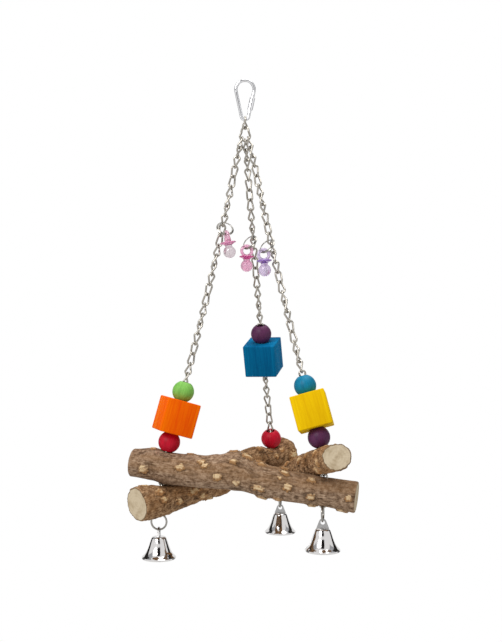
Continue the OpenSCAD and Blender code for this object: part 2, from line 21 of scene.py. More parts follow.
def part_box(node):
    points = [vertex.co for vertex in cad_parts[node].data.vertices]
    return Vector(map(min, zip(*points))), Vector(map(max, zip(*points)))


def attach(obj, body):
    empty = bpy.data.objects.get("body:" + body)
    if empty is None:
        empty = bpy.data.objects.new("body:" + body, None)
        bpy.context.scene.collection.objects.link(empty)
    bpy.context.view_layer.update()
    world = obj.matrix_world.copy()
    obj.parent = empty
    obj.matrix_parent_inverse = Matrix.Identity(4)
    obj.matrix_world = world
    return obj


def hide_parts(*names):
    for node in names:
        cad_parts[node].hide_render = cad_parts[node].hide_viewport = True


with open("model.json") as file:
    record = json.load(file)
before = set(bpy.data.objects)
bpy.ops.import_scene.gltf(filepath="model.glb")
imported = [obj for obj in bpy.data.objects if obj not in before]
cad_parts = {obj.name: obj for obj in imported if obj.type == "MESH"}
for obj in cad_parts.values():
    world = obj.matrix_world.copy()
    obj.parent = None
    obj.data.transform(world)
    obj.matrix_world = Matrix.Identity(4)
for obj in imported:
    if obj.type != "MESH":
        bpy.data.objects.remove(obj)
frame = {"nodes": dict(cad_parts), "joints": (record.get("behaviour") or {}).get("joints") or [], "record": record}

MM = 0.001
LOG = logging.getLogger("bird_perch")
OWN = "own"
# Sockets of a Mix node that mixes colours.
MIX_SHARE, MIX_FIRST, MIX_SECOND = 0, 6, 7
MIX_RESULT = 2
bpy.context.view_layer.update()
BODY_OF = {
    node: body
    for body, nodes in frame["record"]["behaviour"]["bodies"].items()
    for node in nodes
}

Point = tuple[float, float, float]


def linear(code: str) -> tuple[float, float, float, float]:
    """Turns an sRGB hex colour into linear light.

    Args:
        code: the colour as #RRGGBB.

    Returns:
        Linear red, green and blue, and an alpha of one.
    """
    parts = [int(code[i:i + 2], 16) / 255 for i in (1, 3, 5)]
    light = [p / 12.92 if p <= 0.04045 else ((p + 0.055) / 1.055) ** 2.4 for p in parts]
    return light[0], light[1], light[2], 1.0


def add_node(tree: bpy.types.NodeTree, kind: str, links: dict | None = None,
             stops: list | None = None, **settings: object) -> bpy.types.Node:
    """Adds a node with its settings and links.

    Args:
        tree: the node tree it goes in.
        kind: the node's type.
        links: for each input, by name or number, a socket to link or a value to set.
        stops: positions and colours of a colour ramp.
        **settings: properties of the node itself.

    Returns:
        The new node.
    """
    node = tree.nodes.new(kind)
    for name, value in settings.items():
        setattr(node, name, value)
    for name, value in (links or {}).items():
        if isinstance(value, bpy.types.NodeSocket):
            tree.links.new(value, node.inputs[name])
        else:
            node.inputs[name].default_value = value
    for i, (place, colour) in enumerate(stops or []):
        ramp = node.color_ramp.elements
        stop = ramp[i] if i < 2 else ramp.new(place)
        stop.position = place
        stop.color = colour
    return node


def new_material(name: str) -> tuple[bpy.types.Material, bpy.types.NodeTree, bpy.types.Node]:
    """Starts a material.

    Args:
        name: what the real material is.

    Returns:
        The material, its node tree and its surface shader.
    """
    material = bpy.data.materials.new(name)
    material.use_nodes = True
    tree = material.node_tree
    tree.nodes.clear()
    surface = add_node(tree, "ShaderNodeBsdfPrincipled")
    add_node(tree, "ShaderNodeOutputMaterial", {"Surface": surface.outputs[0]})
    return material, tree, surface


@dataclass(frozen=True)
class PlatedSteel:
    """Nickel, zinc or chrome plated steel, drawn or pressed.

    To the eye it is a mirror that shows the white room and the dark cards, a little blurred
    along the faint marks of the drawing die or the press.
    """

    name: str
    tint: str
    roughness: float
    spread: float = 0.06
    mark_mm: float = 1.5
    sharpest: float = 0.02

    def material(self) -> bpy.types.Material:
        """Builds the plated metal, blurred a little more or less from mark to mark.

        Returns:
            The new material.
        """
        material, tree, surface = new_material(self.name)
        surface.inputs["Base Color"].default_value = linear(self.tint)
        surface.inputs["Metallic"].default_value = 1.0
        place = add_node(tree, "ShaderNodeTexCoord")
        marks = add_node(tree, "ShaderNodeTexNoise", {
            "Vector": place.outputs["Object"], "Scale": 1 / (self.mark_mm * MM),
            "Detail": 3.0})
        rough = add_node(tree, "ShaderNodeMapRange", {
            "Value": marks.outputs["Fac"],
            "To Min": max(self.sharpest, self.roughness - self.spread),
            "To Max": self.roughness + self.spread})
        tree.links.new(rough.outputs["Result"], surface.inputs["Roughness"])
        return material


@dataclass(frozen=True)
class DyedWood:
    """Close-grained pale wood dipped in food dye, unvarnished.

    To the eye it is a strong matt colour, in which the grain stays as fine lengthwise streaks,
    darker in its pores. The grain is drawn about twice as coarse as the real one, to show.
    """

    name: str
    colour: str
    deep: str
    roughness: float = 0.75
    gloss: float = 0.05
    grain_mm: float = 1.3
    length_share: float = 0.06
    relief_mm: float = 0.05
    contrast: float = 1.0
    cloud_scale: float = 0.12
    tone_spread: float = 0.16

    def material(self) -> bpy.types.Material:
        """Builds the dyed wood, with its grain along the piece's own Z.

        Returns:
            The new material.
        """
        material, tree, surface = new_material(self.name)
        place = add_node(tree, "ShaderNodeAttribute", attribute_name=OWN)
        along = add_node(tree, "ShaderNodeMapping", {
            "Vector": place.outputs["Vector"],
            "Scale": (1 / MM, 1 / MM, self.length_share / MM)})
        grain = add_node(tree, "ShaderNodeTexNoise", {
            "Vector": along.outputs["Vector"], "Scale": 1 / self.grain_mm, "Detail": 5.0,
            "Roughness": 0.65})
        cloud = add_node(tree, "ShaderNodeTexNoise", {
            "Vector": along.outputs["Vector"], "Scale": self.cloud_scale, "Detail": 2.0})
        both = add_node(tree, "ShaderNodeMath", {
            0: grain.outputs["Fac"], 1: cloud.outputs["Fac"]}, operation="ADD")
        half = add_node(tree, "ShaderNodeMath", {0: both.outputs[0], 1: 0.5},
                        operation="MULTIPLY")
        spread = self.tone_spread / self.contrast
        tone = add_node(tree, "ShaderNodeValToRGB", {"Fac": half.outputs[0]},
                        [(0.5 - spread, linear(self.deep)), (0.5 + spread, linear(self.colour))])
        bump = add_node(tree, "ShaderNodeBump", {
            "Height": grain.outputs["Fac"], "Strength": 0.5,
            "Distance": self.relief_mm * MM})
        tree.links.new(tone.outputs["Color"], surface.inputs["Base Color"])
        tree.links.new(bump.outputs["Normal"], surface.inputs["Normal"])
        surface.inputs["Roughness"].default_value = self.roughness
        surface.inputs["Specular IOR Level"].default_value = self.gloss
        return material


@dataclass(frozen=True)
class Acrylic:
    """Tinted clear acrylic, injection moulded.

    To the eye it is glassy, with a cloudy tint in its depth and bright edges.
    """

    name: str
    tint: str
    clear: float
    roughness: float = 0.12
    cloud_mm: float = 2.5
    waver: float = 0.4
    ior: float = 1.49
    coat: float = 0.3

    def material(self) -> bpy.types.Material:
        """Builds the tinted acrylic, with its cloud in the piece's own frame.

        Returns:
            The new material.
        """
        material, tree, surface = new_material(self.name)
        place = add_node(tree, "ShaderNodeAttribute", attribute_name=OWN)
        cloud = add_node(tree, "ShaderNodeTexNoise", {
            "Vector": place.outputs["Vector"], "Scale": 1 / (self.cloud_mm * MM),
            "Detail": 2.0})
        rough = add_node(tree, "ShaderNodeMapRange", {
            "Value": cloud.outputs["Fac"], "To Min": self.roughness * (1 - self.waver),
            "To Max": self.roughness * (1 + self.waver)})
        tree.links.new(rough.outputs["Result"], surface.inputs["Roughness"])
        surface.inputs["Base Color"].default_value = linear(self.tint)
        surface.inputs["IOR"].default_value = self.ior
        surface.inputs["Transmission Weight"].default_value = self.clear
        surface.inputs["Coat Weight"].default_value = self.coat
        return material


@dataclass(frozen=True)
class Bark:
    """Dry prickly-ash bark, as it grew, with its thorns shaved off by a knife.

    To the eye it is matt, in lengthwise streaks and flecks of grey and warm brown. Painted shade
    darkens the low points of its relief and a ring round each thorn, deeper on the thorn's under
    side. Each thorn is a pale flat with a warm flank, painted stronger on its under side as shade.
    Streaks finer than the picture's points are drawn as coarse as one of them.
    """

    name: str
    light: str
    middle: str
    dark: str
    warm: str
    thorn: str
    flank: str
    streak_mm: float
    stretch: float
    fleck_mm: float
    relief_mm: float
    streak_share: float = 0.62
    dark_at: float = 0.4
    middle_at: float = 0.49
    light_at: float = 0.59
    warm_scale: float = 0.09
    warm_range: tuple[float, float] = (0.42, 0.62)
    warm_most: float = 0.45
    # Painted shade: how far the bark is darkened towards its dark colour where the shade mask is full.
    painted_shade_most: float = 0.7
    wood_scale: float = 1 / 1.2
    wood_range: tuple[float, float] = (0.36, 0.56)
    roughness: float = 0.9
    gloss: float = 0.08

    def material(self) -> bpy.types.Material:
        """Builds the bark from the branch's own coordinates and its thorn attributes.

        Returns:
            The new material.
        """
        material, tree, surface = new_material(self.name)
        place = add_node(tree, "ShaderNodeAttribute", attribute_name=OWN)
        along = add_node(tree, "ShaderNodeMapping", {
            "Vector": place.outputs["Vector"],
            "Scale": (self.stretch / MM, 1 / MM, 1 / MM)})
        streak = add_node(tree, "ShaderNodeTexNoise", {
            "Vector": along.outputs["Vector"], "Scale": 1 / self.streak_mm, "Detail": 7.0,
            "Roughness": 0.75})
        fleck = add_node(tree, "ShaderNodeTexNoise", {
            "Vector": place.outputs["Vector"], "Scale": 1 / (self.fleck_mm * MM),
            "Detail": 4.0, "Roughness": 0.6})
        mixed = add_node(tree, "ShaderNodeMath", {
            0: streak.outputs["Fac"], 1: self.streak_share}, operation="MULTIPLY")
        tone = add_node(tree, "ShaderNodeMath", {
            0: fleck.outputs["Fac"], 1: 1 - self.streak_share, 2: mixed.outputs[0]},
            operation="MULTIPLY_ADD")
        bark = add_node(tree, "ShaderNodeValToRGB", {"Fac": tone.outputs[0]},
                        [(self.dark_at, linear(self.dark)), (self.light_at, linear(self.light)),
                         (self.middle_at, linear(self.middle))])
        warmth = add_node(tree, "ShaderNodeTexNoise", {
            "Vector": along.outputs["Vector"], "Scale": self.warm_scale, "Detail": 2.0})
        warm = add_node(tree, "ShaderNodeMapRange", {
            "Value": warmth.outputs["Fac"], "From Min": self.warm_range[0],
            "From Max": self.warm_range[1], "To Max": self.warm_most})
        tinted = add_node(tree, "ShaderNodeMix", {
            MIX_SHARE: warm.outputs["Result"], MIX_FIRST: bark.outputs["Color"],
            MIX_SECOND: linear(self.warm)}, data_type="RGBA")
        # Painted shade: darkens the bark in the relief's low points and in a ring round each thorn.
        painted_shade = add_node(tree, "ShaderNodeAttribute", attribute_name="painted_shade")
        shade = add_node(tree, "ShaderNodeMath", {
            0: painted_shade.outputs["Fac"], 1: self.painted_shade_most}, operation="MULTIPLY")
        shaded = add_node(tree, "ShaderNodeMix", {
            MIX_SHARE: shade.outputs[0], MIX_FIRST: tinted.outputs[MIX_RESULT],
            MIX_SECOND: linear(self.dark)}, data_type="RGBA")
        # The warm flank is the thorn's own colour, painted stronger on its under side as shade.
        flank = add_node(tree, "ShaderNodeAttribute", attribute_name="flank")
        side = add_node(tree, "ShaderNodeMix", {
            MIX_SHARE: flank.outputs["Fac"], MIX_FIRST: shaded.outputs[MIX_RESULT],
            MIX_SECOND: linear(self.flank)}, data_type="RGBA")
        thorn = add_node(tree, "ShaderNodeAttribute", attribute_name="thorn")
        wood = add_node(tree, "ShaderNodeTexNoise", {
            "Vector": along.outputs["Vector"], "Scale": self.wood_scale, "Detail": 4.0})
        flat = add_node(tree, "ShaderNodeValToRGB", {"Fac": wood.outputs["Fac"]},
                        [(self.wood_range[0], linear(self.flank)),
                         (self.wood_range[1], linear(self.thorn))])
        skin = add_node(tree, "ShaderNodeMix", {
            MIX_SHARE: thorn.outputs["Fac"], MIX_FIRST: side.outputs[MIX_RESULT],
            MIX_SECOND: flat.outputs["Color"]}, data_type="RGBA")
        bump = add_node(tree, "ShaderNodeBump", {
            "Height": tone.outputs[0], "Strength": 0.9, "Distance": self.relief_mm * MM})
        tree.links.new(skin.outputs[MIX_RESULT], surface.inputs["Base Color"])
        tree.links.new(bump.outputs["Normal"], surface.inputs["Normal"])
        surface.inputs["Roughness"].default_value = self.roughness
        surface.inputs["Specular IOR Level"].default_value = self.gloss
        return material


@dataclass(frozen=True)
class SawnEnd:
    """Sawn end grain of a dry branch.

    To the eye it is pale and matt, with faint rings, a stain or two and a thin dark rim of
    bark. The rings are drawn about twice as coarse as the real ones, to show.
    """

    name: str
    pale: str
    ring: str
    rim: str
    ring_mm: float = 2.4
    waver_mm: float = 3.5
    waver: float = 9.0
    stain_mm: float = 6.0
    stain_range: tuple[float, float] = (0.4, 0.7)
    stain_most: float = 0.7
    ring_share: float = 0.13
    rim_range: tuple[float, float] = (0.93, 0.97)
    roughness: float = 0.85
    gloss: float = 0.08

    def material(self) -> bpy.types.Material:
        """Builds the end grain from the distance to the pith, an attribute of the branch.

        Returns:
            The new material.
        """
        material, tree, surface = new_material(self.name)
        pith = add_node(tree, "ShaderNodeAttribute", attribute_name="pith_mm")
        share = add_node(tree, "ShaderNodeAttribute", attribute_name="pith_share")
        place = add_node(tree, "ShaderNodeAttribute", attribute_name=OWN)
        waver = add_node(tree, "ShaderNodeTexNoise", {
            "Vector": place.outputs["Vector"], "Scale": 1 / (self.waver_mm * MM),
            "Detail": 3.0})
        turn = add_node(tree, "ShaderNodeMath", {
            0: pith.outputs["Fac"], 1: math.tau / self.ring_mm}, operation="MULTIPLY")
        phase = add_node(tree, "ShaderNodeMath", {
            0: waver.outputs["Fac"], 1: self.waver, 2: turn.outputs[0]},
            operation="MULTIPLY_ADD")
        wave = add_node(tree, "ShaderNodeMath", {0: phase.outputs[0]}, operation="SINE")
        cloud = add_node(tree, "ShaderNodeTexNoise", {
            "Vector": place.outputs["Vector"], "Scale": 1 / (self.stain_mm * MM),
            "Detail": 2.0})
        stain = add_node(tree, "ShaderNodeMapRange", {
            "Value": cloud.outputs["Fac"], "From Min": self.stain_range[0],
            "From Max": self.stain_range[1], "To Max": self.stain_most})
        level = add_node(tree, "ShaderNodeMath", {
            0: wave.outputs[0], 1: self.ring_share, 2: stain.outputs["Result"]},
            operation="MULTIPLY_ADD", use_clamp=True)
        grain = add_node(tree, "ShaderNodeMix", {
            MIX_SHARE: level.outputs[0], MIX_FIRST: linear(self.pale),
            MIX_SECOND: linear(self.ring)}, data_type="RGBA")
        edge = add_node(tree, "ShaderNodeMapRange", {
            "Value": share.outputs["Fac"], "From Min": self.rim_range[0],
            "From Max": self.rim_range[1]})
        face = add_node(tree, "ShaderNodeMix", {
            MIX_SHARE: edge.outputs["Result"], MIX_FIRST: grain.outputs[MIX_RESULT],
            MIX_SECOND: linear(self.rim)}, data_type="RGBA")
        tree.links.new(face.outputs[MIX_RESULT], surface.inputs["Base Color"])
        surface.inputs["Roughness"].default_value = self.roughness
        surface.inputs["Specular IOR Level"].default_value = self.gloss
        return material


class Finish(Enum):
    """Every finish on the perch, each made once."""

    # Bright plate is so pale that only its dark edges show against the white room.
    LINK_CHROME = PlatedSteel("bright zinc plated quick link", "#DCDCDE", 0.06, 0.02)
    SLEEVE_CHROME = PlatedSteel("turned and plated sleeve", "#E0E0E2", 0.08, 0.03, 0.7)
    # Nickel is warmer and duller, so the links read as grey-brown lines.
    CHAIN_NICKEL = PlatedSteel("nickel plated chain wire", "#ACA79E", 0.13, 0.05)
    RING_NICKEL = PlatedSteel("nickel plated spring wire", "#98958F", 0.16, 0.05)
    # The bells are mirrors with broad, soft press marks, and their lugs are plain strip.
    BELL_CHROME = PlatedSteel("pressed and chromed bell steel", "#D6D4D3", 0.09, 0.03, 6.0)
    LUG_STEEL = PlatedSteel("plated strip steel", "#A3A2A1", 0.26, 0.08)
    CLAPPER_STEEL = PlatedSteel("plain steel wire and ball", "#9C9C9E", 0.3, 0.08)
    # Beads are tumbled smooth and have a low sheen, and blocks are left as they were sawn.
    GREEN = DyedWood("green dyed wood", "#90D065", "#62A03C", 0.5, 0.2, contrast=0.9)
    RED = DyedWood("red dyed wood", "#D20A2E", "#9A001C", 0.45, 0.2, contrast=0.9)
    PURPLE = DyedWood("purple dyed wood", "#642E56", "#421C40", 0.45, 0.22, contrast=0.9)
    TEAL = DyedWood("teal dyed wood", "#0488AE", "#015F80", 0.45, 0.2, contrast=0.9)
    ORANGE = DyedWood("orange dyed wood", "#FF7E00", "#EA4C00")
    BLUE = DyedWood("blue dyed wood", "#0478A8", "#00507E")
    YELLOW = DyedWood("yellow dyed wood", "#F6CE06", "#DAA800")
    # Thin parts of the charms are nearly clear, and the shields are tinted all through.
    PINK_CLEAR = Acrylic("pale pink acrylic", "#F2C2D8", 0.7)
    PINK_DEEP = Acrylic("pink acrylic", "#F29CCA", 0.5)
    GREY_CLEAR = Acrylic("clear acrylic", "#DDD1D6", 0.85)
    ROSE_CLEAR = Acrylic("rose acrylic", "#F8C0DC", 0.65)
    ROSE_DEEP = Acrylic("deep rose acrylic", "#E24BA0", 0.3)
    LILAC_CLEAR = Acrylic("lilac acrylic", "#DCCBE6", 0.7)
    LILAC_DEEP = Acrylic("deep lilac acrylic", "#9A6CC6", 0.35)
    # The front branch is weathered grey and close, the other two brown and scaly.
    GREY_BARK = Bark("grey-brown bark", "#BCA188", "#8B7059", "#473425", "#9A744E",
                     "#DEC49C", "#A67C52", 0.42, 0.06, 2.6, 0.7)
    BROWN_BARK = Bark("rough brown bark", "#C6A27D", "#8B694A", "#3E2B1C", "#A07348",
                      "#DBBE92", "#A8794D", 0.9, 0.3, 3.4, 1.0)
    # Fresh cut wood, a little yellowed.
    SAWN = SawnEnd("sawn end grain", "#CFBEA2", "#AE9A7C", "#77644E")

    def made(self) -> bpy.types.Material:
        """Returns the finish's material, which is built at its first use."""
        known = bpy.data.materials.get(self.value.name)
        return known or self.value.material()


def deselect() -> None:
    """Leaves edit mode and selects nothing."""
    if bpy.context.object and bpy.context.object.mode != "OBJECT":
        bpy.ops.object.mode_set(mode="OBJECT")
    bpy.ops.object.select_all(action="DESELECT")


def focus(piece: bpy.types.Object) -> None:
    """Makes one piece the only one selected, and active.

    Args:
        piece: the object.
    """
    deselect()
    piece.select_set(True)
    bpy.context.view_layer.objects.active = piece


def apply_modifier(piece: bpy.types.Object, kind: str, **settings: object) -> None:
    """Adds a modifier to a piece and applies it.

    Args:
        piece: the object.
        kind: the modifier's type.
        **settings: its properties.
    """
    focus(piece)
    modifier = piece.modifiers.new(kind.lower(), kind)
    for name, value in settings.items():
        setattr(modifier, name, value)
    bpy.ops.object.modifier_apply(modifier=modifier.name)


def tidy_mesh(piece: bpy.types.Object, merge_mm: float = 0.001) -> None:
    """Merges doubles and turns the faces outwards.

    Args:
        piece: the object.
        merge_mm: distance under which two points are one.
    """
    focus(piece)
    bpy.ops.object.mode_set(mode="EDIT")
    bpy.ops.mesh.select_all(action="SELECT")
    bpy.ops.mesh.remove_doubles(threshold=merge_mm * MM)
    bpy.ops.mesh.normals_make_consistent(inside=False)
    bpy.ops.object.mode_set(mode="OBJECT")


def smooth(piece: bpy.types.Object, angle: float = 35) -> None:
    """Shades a piece smooth, apart from edges sharper than an angle in degrees."""
    focus(piece)
    bpy.ops.object.shade_smooth_by_angle(angle=math.radians(angle))


def bore(piece: bpy.types.Object, radius: float, low: Vector, high: Vector,
         sides: int = 64) -> None:
    """Drills a round hole through a piece.

    Args:
        piece: the object.
        radius: the hole's radius, in millimetres.
        low: a point on the hole's axis under the piece, in millimetres.
        high: a point on its axis above the piece, in millimetres.
        sides: faces round the hole.
    """
    deselect()
    way = high - low
    bpy.ops.mesh.primitive_cylinder_add(vertices=sides, radius=radius * MM,
                                        depth=way.length * MM)
    drill = bpy.context.object
    drill.data.transform(Matrix.Translation((low + high) / 2 * MM)
                         @ way.to_track_quat("Z", "Y").to_matrix().to_4x4())
    for slot in piece.data.materials[-1:]:
        drill.data.materials.append(slot)
    apply_modifier(piece, "BOOLEAN", object=drill, operation="DIFFERENCE",
                   solver="MANIFOLD")
    bpy.data.objects.remove(drill)


def turned(name: str, profile: list[tuple[float, float]], steps: int = 96) -> bpy.types.Object:
    """Turns a closed outline about Z, as on a lathe.

    Args:
        name: the piece's name.
        profile: the outline's corners, as radius and height in millimetres.
        steps: faces round the piece.

    Returns:
        The closed piece, about the origin.
    """
    deselect()
    bpy.ops.mesh.primitive_circle_add(vertices=len(profile), radius=MM)
    piece = bpy.context.object
    piece.name = name
    for vertex, (radius, height) in zip(piece.data.vertices, profile):
        vertex.co = (radius * MM, 0, height * MM)
    bpy.ops.object.mode_set(mode="EDIT")
    bpy.ops.mesh.select_all(action="SELECT")
    bpy.ops.mesh.spin(steps=steps, angle=math.tau, center=(0, 0, 0), axis=(0, 0, 1))
    bpy.ops.object.mode_set(mode="OBJECT")
    tidy_mesh(piece)
    return piece


def keep_own_place(piece: bpy.types.Object) -> None:
    """Stores each point's place in the piece's own frame, for patterns that follow it.

    Args:
        piece: the object, before it is put in its place.
    """
    mesh = piece.data
    if OWN in mesh.attributes:
        return
    places = np.zeros(len(mesh.vertices) * 3, np.float32)
    mesh.vertices.foreach_get("co", places)
    mesh.attributes.new(OWN, "FLOAT_VECTOR", "POINT").data.foreach_set("vector", places)


def settle(piece: bpy.types.Object, place: Matrix, node: str,
           finishes: list[Finish]) -> bpy.types.Object:
    """Dresses a piece, puts it where its CAD node is and lets it ride there.

    Args:
        piece: the finished piece, in its own frame.
        place: its own frame in the swing's.
        node: the CAD node that it stands for.
        finishes: its finishes, or none where it already has them.

    Returns:
        The same piece.
    """
    keep_own_place(piece)
    if finishes:
        piece.data.materials.clear()
    for finish in finishes:
        piece.data.materials.append(finish.made())
    piece.data.transform(place)
    piece.data.update()
    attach(piece, BODY_OF[node])
    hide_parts(node)
    LOG.info("%s stands for %s", piece.name, node)
    return piece


def dress(node: str, finish: Finish) -> None:
    """Gives a CAD node its finish.

    Args:
        node: the CAD node, which is shown as it is.
        finish: what it is made of.
    """
    mesh = frame["nodes"][node].data
    mesh.materials.clear()
    mesh.materials.append(finish.made())
    LOG.info("%s keeps its solid", node)


def joint_axis(name: str) -> Vector:
    """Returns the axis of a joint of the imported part."""
    found = [j for j in frame["joints"] if j["name"] == name]
    return Vector(found[0]["axis"]).normalized()


def middle_of(node: str) -> Vector:
    """Returns the middle of a CAD node's box, in metres."""
    low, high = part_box(node)
    return (low + high) / 2


def own_top(node: str, turn: Matrix) -> tuple[Vector, Vector]:
    """Measures a CAD node in a turned frame.

    Args:
        node: the CAD node.
        turn: the frame's rotation.

    Returns:
        The lowest and highest corners of its box in that frame, in metres.
    """
    back = turn.to_3x3().transposed()
    places = [back @ v.co for v in frame["nodes"][node].data.vertices]
    low = Vector([min(p[k] for p in places) for k in range(3)])
    high = Vector([max(p[k] for p in places) for k in range(3)])
    return low, high


@dataclass
class Hanger:
    """Quick link, its sleeve, the two small links under it and the three chains."""

    wire_work: tuple[tuple[str, Finish], ...] = (
        ("quick_link", Finish.LINK_CHROME),
        ("sleeve_nut", Finish.SLEEVE_CHROME),
        ("top_link", Finish.CHAIN_NICKEL),
        ("junction_link", Finish.CHAIN_NICKEL),
        ("left_chain", Finish.CHAIN_NICKEL),
        ("back_chain", Finish.CHAIN_NICKEL),
        ("right_chain", Finish.CHAIN_NICKEL))

    def build(self) -> None:
        """Dresses the wire work, whose solids already have its shape."""
        for node, finish in self.wire_work:
            dress(node, finish)


@dataclass
class Bead:
    """A turned wooden bead with flat ends and a rounded bore."""

    node: str
    finish: Finish
    slot: str
    radius: float = 8.0
    half_height: float = 7.0
    bore_radius: float = 3.3
    rim: float = 0.7
    arc_steps: int = 22
    rim_steps: int = 5
    turn_steps: int = 80

    def outline(self) -> list[tuple[float, float]]:
        """Draws the bead's section: its round side, and the bore with rounded rims.

        Returns:
            The section's corners, as radius and height in millimetres.
        """
        reach = math.asin(self.half_height / self.radius)
        side = [(self.radius * math.cos(a), self.radius * math.sin(a))
                for a in (reach * (2 * i / self.arc_steps - 1)
                          for i in range(self.arc_steps + 1))]
        rims = []
        for end in (1, -1):
            middle = (self.bore_radius + self.rim, end * (self.half_height - self.rim))
            turns = [math.pi / 2 * i / self.rim_steps for i in range(self.rim_steps + 1)]
            arc = [(middle[0] - self.rim * math.sin(a),
                    middle[1] + end * self.rim * math.cos(a)) for a in turns]
            rims.append(arc if end > 0 else arc[::-1])
        return side + rims[0] + rims[1]

    def build(self) -> None:
        """Turns the bead and strings it on its chain."""
        piece = turned(self.node + "_turned", self.outline(), self.turn_steps)
        smooth(piece)
        axis = joint_axis(self.node + "_spin")
        turn = Vector((0, 0, 1)).rotation_difference(axis).to_matrix().to_4x4()
        settle(piece, Matrix.Translation(middle_of(self.node)) @ turn, self.node,
               [self.finish])


@dataclass
class Block:
    """A sawn wooden cube with eased edges, drilled through for the chain."""

    node: str
    finish: Finish
    slot: str
    turn: float
    side: float = 25.0
    ease: float = 0.8
    ease_steps: int = 4
    bore_radius: float = 5.0
    sharp_angle: float = 30.0

    def build(self) -> None:
        """Models the block and strings it on its chain."""
        deselect()
        bpy.ops.mesh.primitive_cube_add(size=self.side * MM)
        piece = bpy.context.object
        piece.name = self.node + "_sawn"
        bpy.ops.object.mode_set(mode="EDIT")
        bpy.ops.mesh.select_all(action="SELECT")
        bpy.ops.mesh.bevel(offset=self.ease * MM, segments=self.ease_steps, affect="EDGES")
        bpy.ops.object.mode_set(mode="OBJECT")
        tidy_mesh(piece)
        reach = Vector((0, 0, self.side))
        bore(piece, self.bore_radius, -reach, reach)
        smooth(piece, self.sharp_angle)
        axis = joint_axis(self.node + "_spin")
        lean = Vector((0, 0, 1)).rotation_difference(axis).to_matrix().to_4x4()
        turn = lean @ Matrix.Rotation(math.radians(self.turn), 4, "Z")
        settle(piece, Matrix.Translation(middle_of(self.node)) @ turn, self.node,
               [self.finish])


@dataclass
class Thorn:
    """A thorn shaved flat: its place, its size along and around the branch, its height.

    How far a point lies from its middle is counted in its own half sizes, where the flat, the
    flank, the foot and the ring of painted shade round it end one after the other. On the under
    side the pale flat is painted smaller, the flank stronger and the ring darker, as painted shade.
    """

    share: float
    angle: float
    along: float = 4.2
    around: float = 3.4
    height: float = 1.3
    half: float = 0.6
    flat_end: float = 0.95
    flank_end: float = 1.35
    foot_end: float = 1.5
    foot_width: float = 0.75
    edge_width: float = 0.3
    # Where the ring of painted shade round the thorn lies, and how wide it is.
    shade_ring_at: float = 1.55
    shade_ring_width: float = 0.2
    foot_lean: float = 0.15
    # These paint shade on the under side: a smaller pale flat, a wider and stronger flank, a darker ring.
    flat_lean: float = 0.3
    flank_lean: float = 0.2
    flank_shade_under: float = 0.35
    shade_ring_under: float = 0.65

    def mark(self, skin: "Skin") -> None:
        """Raises the thorn on the skin, and marks its flat, its flank and its ring of painted shade.

        Args:
            skin: the branch's skin, whose values it changes.
        """
        middle = math.radians(self.angle)
        along = (skin.share - self.share) * skin.length / (self.half * self.along)
        turned_by = (skin.angle - middle + 3 * math.pi) % math.tau - math.pi
        around = turned_by * skin.base / (self.half * self.around)
        away = (np.sqrt(along * along + around * around)
                + skin.WAVER_SHARE * skin.waver + skin.RAGGED_SHARE * skin.ragged)
        under = np.clip(around * math.copysign(1, math.sin(middle) + skin.LEAN), -1, 1)
        foot_end = self.foot_end + self.foot_lean * under
        slope = np.clip((foot_end - away) / self.foot_width, 0, 1)
        flat_end = self.flat_end - self.flat_lean * under
        flat = np.clip((flat_end - away) / self.edge_width, 0, 1)
        flank_end = self.flank_end + self.flank_lean * under
        flank = np.clip((flank_end - away) / self.edge_width, 0, 1)
        # Painted shade: the flank is stronger, and the ring round the thorn darker, on the under side.
        warm = 1 - self.flank_shade_under + self.flank_shade_under * under
        shade_ring = np.exp(-((away - self.shade_ring_at) / self.shade_ring_width) ** 2)
        deep = 1 - self.shade_ring_under + self.shade_ring_under * np.clip(under, 0, 1)
        skin.height = np.maximum(skin.height, self.height * slope * slope * (3 - 2 * slope))
        skin.flat = np.maximum(skin.flat, flat)
        skin.flank = np.maximum(skin.flank, flank * warm)
        skin.painted_shade = np.maximum(skin.painted_shade, deep * shade_ring)


class Skin:
    """The skin of a branch, as one value per point of the sheet that is wrapped round it.

    The edges of the thorns waver, and are ragged on top of that. On a thorn that points almost
    straight up or down, LEAN settles which side is its under side.
    """

    WAVER_SHARE = 0.7
    RAGGED_SHARE = 0.3
    WAVER_MM = 1.5
    RAGGED_MM = 0.6
    RAGGED_PLACE = Vector((9, 0, 0))
    LEAN = 0.2

    def __init__(self, mesh: bpy.types.Mesh, rings: int, cap_rings: int) -> None:
        """Reads where each point of a flat grid comes to lie.

        Args:
            mesh: the flat grid, one unit square.
            rings: its rows along the branch.
            cap_rings: its rows over each sawn end.
        """
        flat = np.zeros(len(mesh.vertices) * 3)
        mesh.vertices.foreach_get("co", flat)
        flat = flat.reshape(-1, 3)
        rows = rings + 2 * cap_rings
        row = (flat[:, 0] + 0.5) * rows
        self.angle = (flat[:, 1] + 0.5) * math.tau
        self.angle[np.isclose(self.angle, math.tau)] = 0.0
        self.share = np.clip((row - cap_rings) / rings, 0, 1)
        self.pith = np.clip(np.minimum(row, rows - row) / cap_rings, 0, 1)
        self.height = np.zeros(len(row))
        self.flat = np.zeros(len(row))
        self.flank = np.zeros(len(row))
        self.painted_shade = np.zeros(len(row))
        self.length = 0.0
        self.base = self.places = self.waver = self.ragged = np.zeros(0)

    def lay(self, length: float, base: np.ndarray) -> None:
        """Lays the smooth skin round the branch, and finds how its patterns waver.

        Args:
            length: the branch's length, in millimetres.
            base: the half thickness at each point, in millimetres.
        """
        self.length = length
        self.base = base
        self.places = np.stack([self.share * length, -base * np.sin(self.angle),
                                base * np.cos(self.angle)], 1)
        self.waver = np.array([noise.noise(Vector(p) / self.WAVER_MM) for p in self.places])
        self.ragged = np.array([noise.noise(Vector(p) / self.RAGGED_MM + self.RAGGED_PLACE)
                                for p in self.places])


